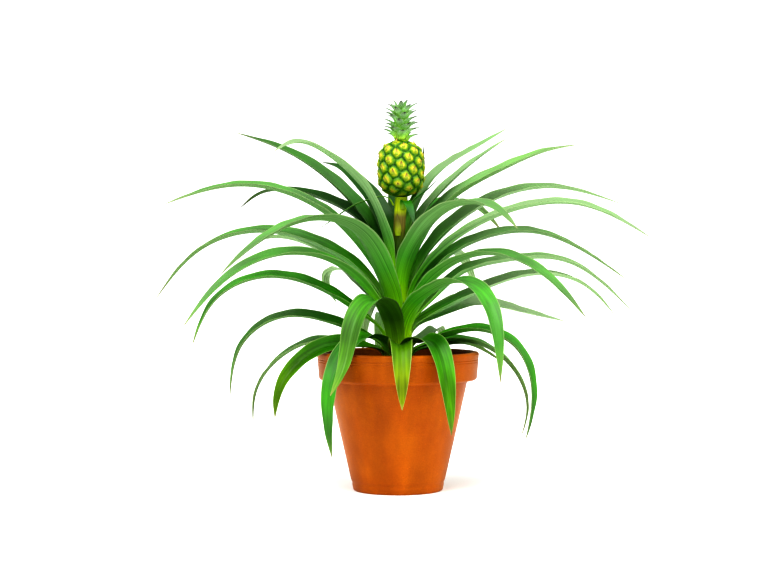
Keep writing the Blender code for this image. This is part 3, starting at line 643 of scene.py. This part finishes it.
def buildFruit(rind, scaleSkin):
    s = fruitShape
    rises = np.linspace(0, 1, 400)
    radii = fruitOutline(rises)
    slope = np.hypot(np.diff(radii), np.diff(rises) * s["height"])
    area = np.concatenate([[0], np.cumsum(slope * (radii[1:] + radii[:-1]) / 2)])
    arc = np.concatenate([[0], np.cumsum(slope)])

    eyes = []
    for n in range(s["eyes"]):
        rise = np.interp((n + 0.5) / s["eyes"] * area[-1], area, rises)
        angle = n * goldenAngle
        radius = float(fruitOutline(rise))
        eyes.append((radius * math.cos(angle), radius * math.sin(angle), rise * s["height"]))
    eyes = np.array(eyes)

    bm = bmesh.new()
    seamLayer = bm.verts.layers.float.new("seam")
    riseLayer = bm.verts.layers.float.new("rise")
    verts = bmesh.ops.create_uvsphere(bm, u_segments=s["around"], v_segments=s["up"], radius=1)["verts"]
    for vert in verts:
        share = math.acos(max(-1, min(1, -vert.co.z))) / math.pi
        rise = float(np.interp(share * arc[-1], arc, rises))
        angle = math.atan2(vert.co.y, vert.co.x)
        radius = float(fruitOutline(rise))
        point = np.array([radius * math.cos(angle), radius * math.sin(angle), rise * s["height"]])
        distances = np.sort(np.linalg.norm(eyes - point, axis=1))[:2]
        seam = min((distances[1] - distances[0]) / 2 / s["seamWidth"], 1)
        dome = 1 - (1 - seam) ** 2.2
        centred = max(1 - distances[0] / 5.5, 0)
        height = s["eyeHeight"] * (dome * (0.85 + 0.15 * centred) - 1)
        height *= min(min(rise, 1 - rise) / 0.05, 1)  # the ends close on the stalk and the crown
        low, high = max(rise - 0.01, 0), min(rise + 0.01, 1)
        run = float(fruitOutline(high) - fruitOutline(low))
        normal = Vector((math.cos(angle) * (high - low) * s["height"],
                         math.sin(angle) * (high - low) * s["height"], -run)).normalized()
        vert.co = (Vector(point) + normal * height + Vector((s["lean"], 0, s["bottom"]))) * mm
        vert[seamLayer] = seam * 0.75 + centred * 0.25
        vert[riseLayer] = rise
    bmesh.ops.recalc_face_normals(bm, faces=bm.faces)
    fruit = finishMesh("fruitRind", bm, [rind])
    place(fruit, "fruit_skin", "fruit")

    # a small pointed scale stands at the foot of each eye
    bm = bladeMesh()
    for n, eye in enumerate(eyes):
        rng = random.Random(500 + n)
        rise = eye[2] / s["height"]
        if rise < 0.05 or rise > 0.97:
            continue
        addFruitScale(bm, eye, rise, rng)
    scales = thickBlade("fruitScales", bm, [scaleSkin, scaleSkin], fruitShape["scaleThickness"])
    place(scales, "fruit_skin")
    print("fruit:", len(eyes), "eyes")


def addFruitScale(bm, eye, rise, rng):
    s = fruitShape
    angle = math.atan2(eye[1], eye[0])
    out = Vector((math.cos(angle), math.sin(angle), 0))
    side = Vector((-math.sin(angle), math.cos(angle), 0))
    low, high = max(rise - 0.02, 0), min(rise + 0.02, 1)
    run = float(fruitOutline(high) - fruitOutline(low))
    upward = Vector((0, 0, (high - low) * s["height"])) + out * run
    upward.normalize()
    normal = side.cross(upward)
    length, width = rng.uniform(*s["scaleLength"]), rng.uniform(*s["scaleWidth"])
    base = Vector(eye) - upward * 2.8 - normal * 0.2
    tip = rng.uniform(*s["scaleTip"])  # how far the point stands off the eye
    layers = {name: bm.verts.layers.float[name] for name in ("growth", "edge", "thick")}
    for vert in bmesh.ops.create_grid(bm, x_segments=3, y_segments=4, size=0.5)["verts"]:
        u, v = 2 * vert.co.x, vert.co.y + 0.5
        half = width / 2 * (1 - v ** 1.7) + 0.12
        lift = 0.2 + tip * v ** 2 - 0.35 * u * u
        point = base + side * (u * half) + upward * (v * length) + normal * lift
        vert.co = (point + Vector((s["lean"], 0, s["bottom"]))) * mm
        vert[layers["growth"]] = v
        vert[layers["edge"]] = abs(u)
        vert[layers["thick"]] = 1 - 0.5 * v


crownShape = {
    "steps": 12, "bars": 4, "thickness": 0.5, "taperPower": 2.0, "tipHalf": 0.08,
    "hollow": 0.6, "hollowLeast": 0.8, "hollowPower": 1.6, "ripple": 0.0, "twist": 4,
    "leaves": 40, "base": 349.5, "height": 41, "core": 6.6, "spread": 13.8, "width": 12.0,
}


def buildCrown(upper, under, coreSkin):
    s = crownShape
    bm = bladeMesh()
    for n in range(s["leaves"]):
        rng = random.Random(700 + n)
        t = n / (s["leaves"] - 1)
        foot = s["base"] + s["height"] * 0.70 * t
        core = s["core"] * (1 - 0.35 * t ** 2)
        rise = 7.5 + 5.5 * t + rng.uniform(-1.0, 1.0)
        spread = (s["spread"] - t ** 1.5) * rng.uniform(0.85, 1.06)
        if t > 0.93:  # the youngest leaves stand upright in the middle
            spread *= 0.35
        rise = min(rise, s["base"] + s["height"] - foot + 0.6)
        path = [(core + 0.14 * spread, foot + 0.36 * rise), (core + 0.45 * spread, foot + 0.70 * rise),
                (core + spread, foot + rise * rng.uniform(0.9, 1.0))]
        verts, half = addBlade(bm, (math.degrees(n * goldenAngle), 0, 0, s["width"] - 3.5 * t, path),
                                       (core, foot - 1), fruitShape["lean"], s["steps"], s["bars"], rng, s)
        setBladeData(bm, verts, half, s["steps"], crownTone, rng)
    crown = thickBlade("crownLeaves", bm, [upper, under], s["thickness"])
    place(crown, "crown_leaf", "crown")
    bm = bmesh.new()
    growth = bm.verts.layers.float.new("growth")
    verts = bmesh.ops.create_cone(bm, cap_ends=True, segments=24, radius1=s["core"] * mm,
                                  radius2=0.6 * s["core"] * mm, depth=0.74 * s["height"] * mm)["verts"]
    middle = (s["base"] + 0.37 * s["height"]) * mm
    bmesh.ops.translate(bm, verts=verts, vec=(fruitShape["lean"] * mm, 0, middle))
    for vert in bm.verts:
        vert[growth] = 0.2
    core = finishMesh("crownCore", bm, [coreSkin])
    place(core, "crown_leaf")
    print("crown:", s["leaves"], "leaves")


potShape = {
    "height": 138.5, "collarRadius": 81.0, "collarHeight": 28.0, "collarTaper": 1.8, "collarStep": 10.0,
    "baseRadius": 45.0, "wall": 7.0, "floor": 8.0, "drain": 11.0, "rounding": 2.0, "sides": 160,
    "ringDepth": 0.7, "collarGrooves": ((0.70, 0.35), (0.80, 0.5)),
}


def arcPoints(x, z, radius, start, end, steps=6):
    angles = np.radians(np.linspace(start, end, steps + 1))
    return [(x + radius * math.cos(angle), z + radius * math.sin(angle)) for angle in angles]


def buildPot(clay):
    p = potShape
    r, top = p["rounding"], p["height"]
    collarBottom = top - p["collarHeight"]
    lowRadius = p["collarRadius"] - p["collarTaper"]
    neck = lowRadius - p["collarStep"]
    inner = p["collarRadius"] - p["wall"]
    outline = [(p["drain"], 0.4), (p["drain"] + 0.4, 0)] + arcPoints(p["baseRadius"] - r, r, r, -90, -8)
    for k in range(1, 70):  # the wall swells a fraction of a millimetre, and a ring is cut near its foot
        t = k / 70
        x = p["baseRadius"] + (neck - p["baseRadius"]) * t
        ring = p["ringDepth"] * math.exp(-((t - 0.06) / 0.014) ** 2)
        outline.append((x + 0.25 * math.sin(math.pi * t) - ring, r + (collarBottom - 2.5 - r) * t))
    outline += arcPoints(neck + 2.5, collarBottom - 2.5, 2.5, 180, 90)
    outline += arcPoints(lowRadius - 3, collarBottom + 3, 3, -90, 0)
    for k in range(1, 50):
        t = k / 50
        groove = sum(deep * math.exp(-((t - at) / 0.02) ** 2) for at, deep in p["collarGrooves"])
        height = collarBottom + 3 + (top - 2.5 - collarBottom - 3) * t
        outline.append((lowRadius + p["collarTaper"] * t - groove, height))
    outline += arcPoints(p["collarRadius"] - 2.5, top - 2.5, 2.5, 0, 90)
    outline += arcPoints(inner + r, top - r, r, 90, 180)
    outline += [(inner - p["collarTaper"], collarBottom + 5), (neck - p["wall"], collarBottom - r - 6)]
    outline += [(p["baseRadius"] - p["wall"], p["floor"] + 2), (p["baseRadius"] - p["wall"] - 2, p["floor"])]
    outline += [(p["drain"] + 0.5, p["floor"]), (p["drain"], p["floor"] - 0.5)]
    bm = bmesh.new()
    verts = [bm.verts.new((x * mm, 0, z * mm)) for x, z in outline]
    edges = [bm.edges.new(pair) for pair in zip(verts, verts[1:] + verts[:1])]
    bmesh.ops.spin(bm, geom=verts + edges, axis=(0, 0, 1), cent=(0, 0, 0), angle=2 * math.pi,
                   steps=p["sides"], use_merge=True)
    bmesh.ops.remove_doubles(bm, verts=bm.verts, dist=1e-6)
    bmesh.ops.recalc_face_normals(bm, faces=bm.faces)
    pot = finishMesh("turnedPot", bm, [clay])
    pot.data.set_sharp_from_angle(angle=math.radians(50))
    place(pot, "terracotta", "pot")
    print("pot: turned")


soilShape = {"top": 126.0, "radius": 71.3, "lump": 2.6, "rings": 34, "sides": 110, "crumbs": 420,
             "skirtFoot": 112, "skirtNarrowing": 0.93}


def soilHeight(x, y):  # mm above the pot's base, from x and y in mm
    spot = Vector((x, y, 0))
    lumps = noise.fractal(spot / 9, 0.9, 2.1, 4) * soilShape["lump"] * 0.6
    mound = 1.2 * math.exp(-((x * x + y * y) / 26 ** 2))
    return soilShape["top"] - 1.5 + lumps + mound


def buildSoil(peat, crumbSkin):
    s = soilShape
    bm = bmesh.new()
    circle = bmesh.ops.create_circle(bm, cap_ends=False, segments=s["sides"],
                                     radius=s["radius"] * mm)["verts"]
    ring = list({e for v in circle for e in v.link_edges})
    for k in range(s["rings"]):  # rings drawn in towards the stem
        made = bmesh.ops.extrude_edge_only(bm, edges=ring)["geom"]
        verts = [g for g in made if isinstance(g, bmesh.types.BMVert)]
        ring = [g for g in made if isinstance(g, bmesh.types.BMEdge)]
        scale = (s["rings"] - k - 0.98) / (s["rings"] - k + 0.02)
        bmesh.ops.scale(bm, verts=verts, vec=(scale, scale, 1))
        ring = [e for e in ring if all(v in set(verts) for v in e.verts)]
    bmesh.ops.remove_doubles(bm, verts=bm.verts, dist=0.00012)
    for vert in bm.verts:
        vert.co.z = soilHeight(vert.co.x / mm, vert.co.y / mm) * mm
    bmesh.ops.recalc_face_normals(bm, faces=bm.faces)
    rim = [e for e in bm.edges if e.is_boundary]
    made = bmesh.ops.extrude_edge_only(bm, edges=rim)["geom"]
    skirt = [g for g in made if isinstance(g, bmesh.types.BMVert)]
    for vert in skirt:
        vert.co.z = s["skirtFoot"] * mm
        vert.co.x *= s["skirtNarrowing"]
        vert.co.y *= s["skirtNarrowing"]
    bmesh.ops.holes_fill(bm, edges=[e for e in bm.edges if e.is_boundary], sides=0)
    bmesh.ops.recalc_face_normals(bm, faces=bm.faces)
    soil = finishMesh("soilSurface", bm, [peat])
    place(soil, "soil", "soil")

    bm = bmesh.new()
    rng = random.Random(41)
    for _ in range(s["crumbs"]):
        angle, reach = rng.random() * math.tau, math.sqrt(rng.uniform(0.06, 0.97)) * (s["radius"] - 2)
        x, y = reach * math.cos(angle), reach * math.sin(angle)
        size = rng.uniform(0.5, 1.7)
        roll = rng.random() * math.tau
        turn = Matrix.Rotation(roll, 4, Vector((rng.random(), rng.random(), rng.random() + 0.1)))
        at = Matrix.Translation((x * mm, y * mm, (soilHeight(x, y) + size * 0.35) * mm))
        shape = Matrix.Diagonal((1.0, rng.uniform(0.6, 1.0), rng.uniform(0.5, 0.9), 1))
        bmesh.ops.create_icosphere(bm, subdivisions=1, radius=size * mm, matrix=at @ turn @ shape)
    crumbs = finishMesh("soilCrumbs", bm, [crumbSkin])
    place(crumbs, "soil")
    print("soil: surface and", s["crumbs"], "crumbs")


stageShape = {
    "cameraAt": (-8, -1700, 232), "cameraDown": 1.163, "lens": 78.46,
    "floorWidth": 6000, "ambient": 0.5, "backdrop": 1.05,
    # where each soft light stands (m), its strength, and how wide it looks (degrees)
    "lights": {"keyLight": ((-0.9, -1.2, 2.0), 2.2, 50), "fillLight": ((1.4, -0.8, 1.6), 1.3, 60)},
}


def buildStage():
    bm = bmesh.new()
    bmesh.ops.create_grid(bm, x_segments=1, y_segments=1, size=stageShape["floorWidth"] / 2 * mm)
    paper = newMaterial("palePaper", {"Roughness": 0.9, "Base Color": linearColour("fbfbfb"),
                                      "Specular IOR Level": 0.1})[0]
    floor = finishMesh("studioFloor", bm, [paper])

    world = bpy.data.worlds.new("studio")
    bpy.context.scene.world = world
    world.use_nodes = True
    background = world.node_tree.nodes["Background"]
    background.inputs["Color"].default_value = (1, 1, 1, 1)
    # the backdrop is bright paper, and only part of its light reaches the plant
    path = addNode(world.node_tree, "ShaderNodeLightPath")
    strength = addNode(world.node_tree, "ShaderNodeMapRange", inputs={
        "To Min": stageShape["ambient"], "To Max": stageShape["backdrop"]},
                       links={"Value": path.outputs["Is Camera Ray"]})
    world.node_tree.links.new(strength.outputs["Result"], background.inputs["Strength"])

    for name, (fromWhere, power, softness) in stageShape["lights"].items():
        light = bpy.data.lights.new(name, "SUN")
        light.energy, light.angle = power, math.radians(softness)
        lamp = bpy.data.objects.new(name, light)
        lamp.location = fromWhere
        lamp.rotation_euler = Vector(fromWhere).to_track_quat("Z", "Y").to_euler()
        bpy.context.scene.collection.objects.link(lamp)

    camera = bpy.data.cameras.new("studioCamera")
    camera.lens, camera.sensor_width = stageShape["lens"], 36
    camera.clip_end = 20
    eye = bpy.data.objects.new("studioCamera", camera)
    eye.location = Vector(stageShape["cameraAt"]) * mm
    eye.rotation_euler = (math.radians(90 - stageShape["cameraDown"]), 0, 0)
    bpy.context.scene.collection.objects.link(eye)
    bpy.context.scene.camera = eye
    bpy.context.scene.view_settings.view_transform = "Standard"
    bpy.context.scene.view_settings.look = "Very High Contrast"
    print("stage: floor, lights and camera")


def main():
    upper, under = leafUpperMaterial(), leafUnderMaterial()
    crownUpper = rampedMaterial("crownUpperSkin", [(0.0, "c0dc40"), (0.3, "96c854"), (0.55, "84b468"),
                                (0.8, "78946c"), (0.93, "3e3a38"), (1.0, "30282c")], {"Roughness": 0.5}, 5)
    crownUnder = rampedMaterial("crownUnderScales", [(0.0, "b8dc48"), (0.3, "98cc68"), (0.55, "9cc08c"),
                                (0.8, "8a9e80"), (0.93, "443e3c"), (1.0, "30282c")], {"Roughness": 0.6}, 5)
    scaleSkin = rampedMaterial("fruitScaleSkin", [(0.0, "7c9c14"), (0.4, "a4ac38"), (0.7, "b09450"),
                               (1.0, "6c3c20")], {"Roughness": 0.6}, 2)
    bractUpper = rampedMaterial("bractUpperSkin", [(0.0, "a9c42a"), (0.2, "3f8a14"), (0.6, "1d5f0e"),
                                (0.9, "2f5a20"), (1.0, "5b4630")], {"Roughness": 0.45}, 6)
    peat = soilMaterial()
    buildStage()
    buildPot(terracottaMaterial())
    buildSoil(peat, peat)
    buildLeaves(upper, under)
    sheath = rampedMaterial("drySheathSkin", [(0.0, "b4c820"), (0.45, "9c9c3c"), (1.0, "6c5c38")],
                            {"Roughness": 0.6}, 6)
    buildBracts(bractUpper, bractUpper, sheath, [upper, under])
    buildFruit(fruitMaterial(), scaleSkin)
    buildCrown(crownUpper, crownUnder, crownUnder)
    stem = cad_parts["stem"]
    stem.material_slots[0].material = stalkMaterial()


main()
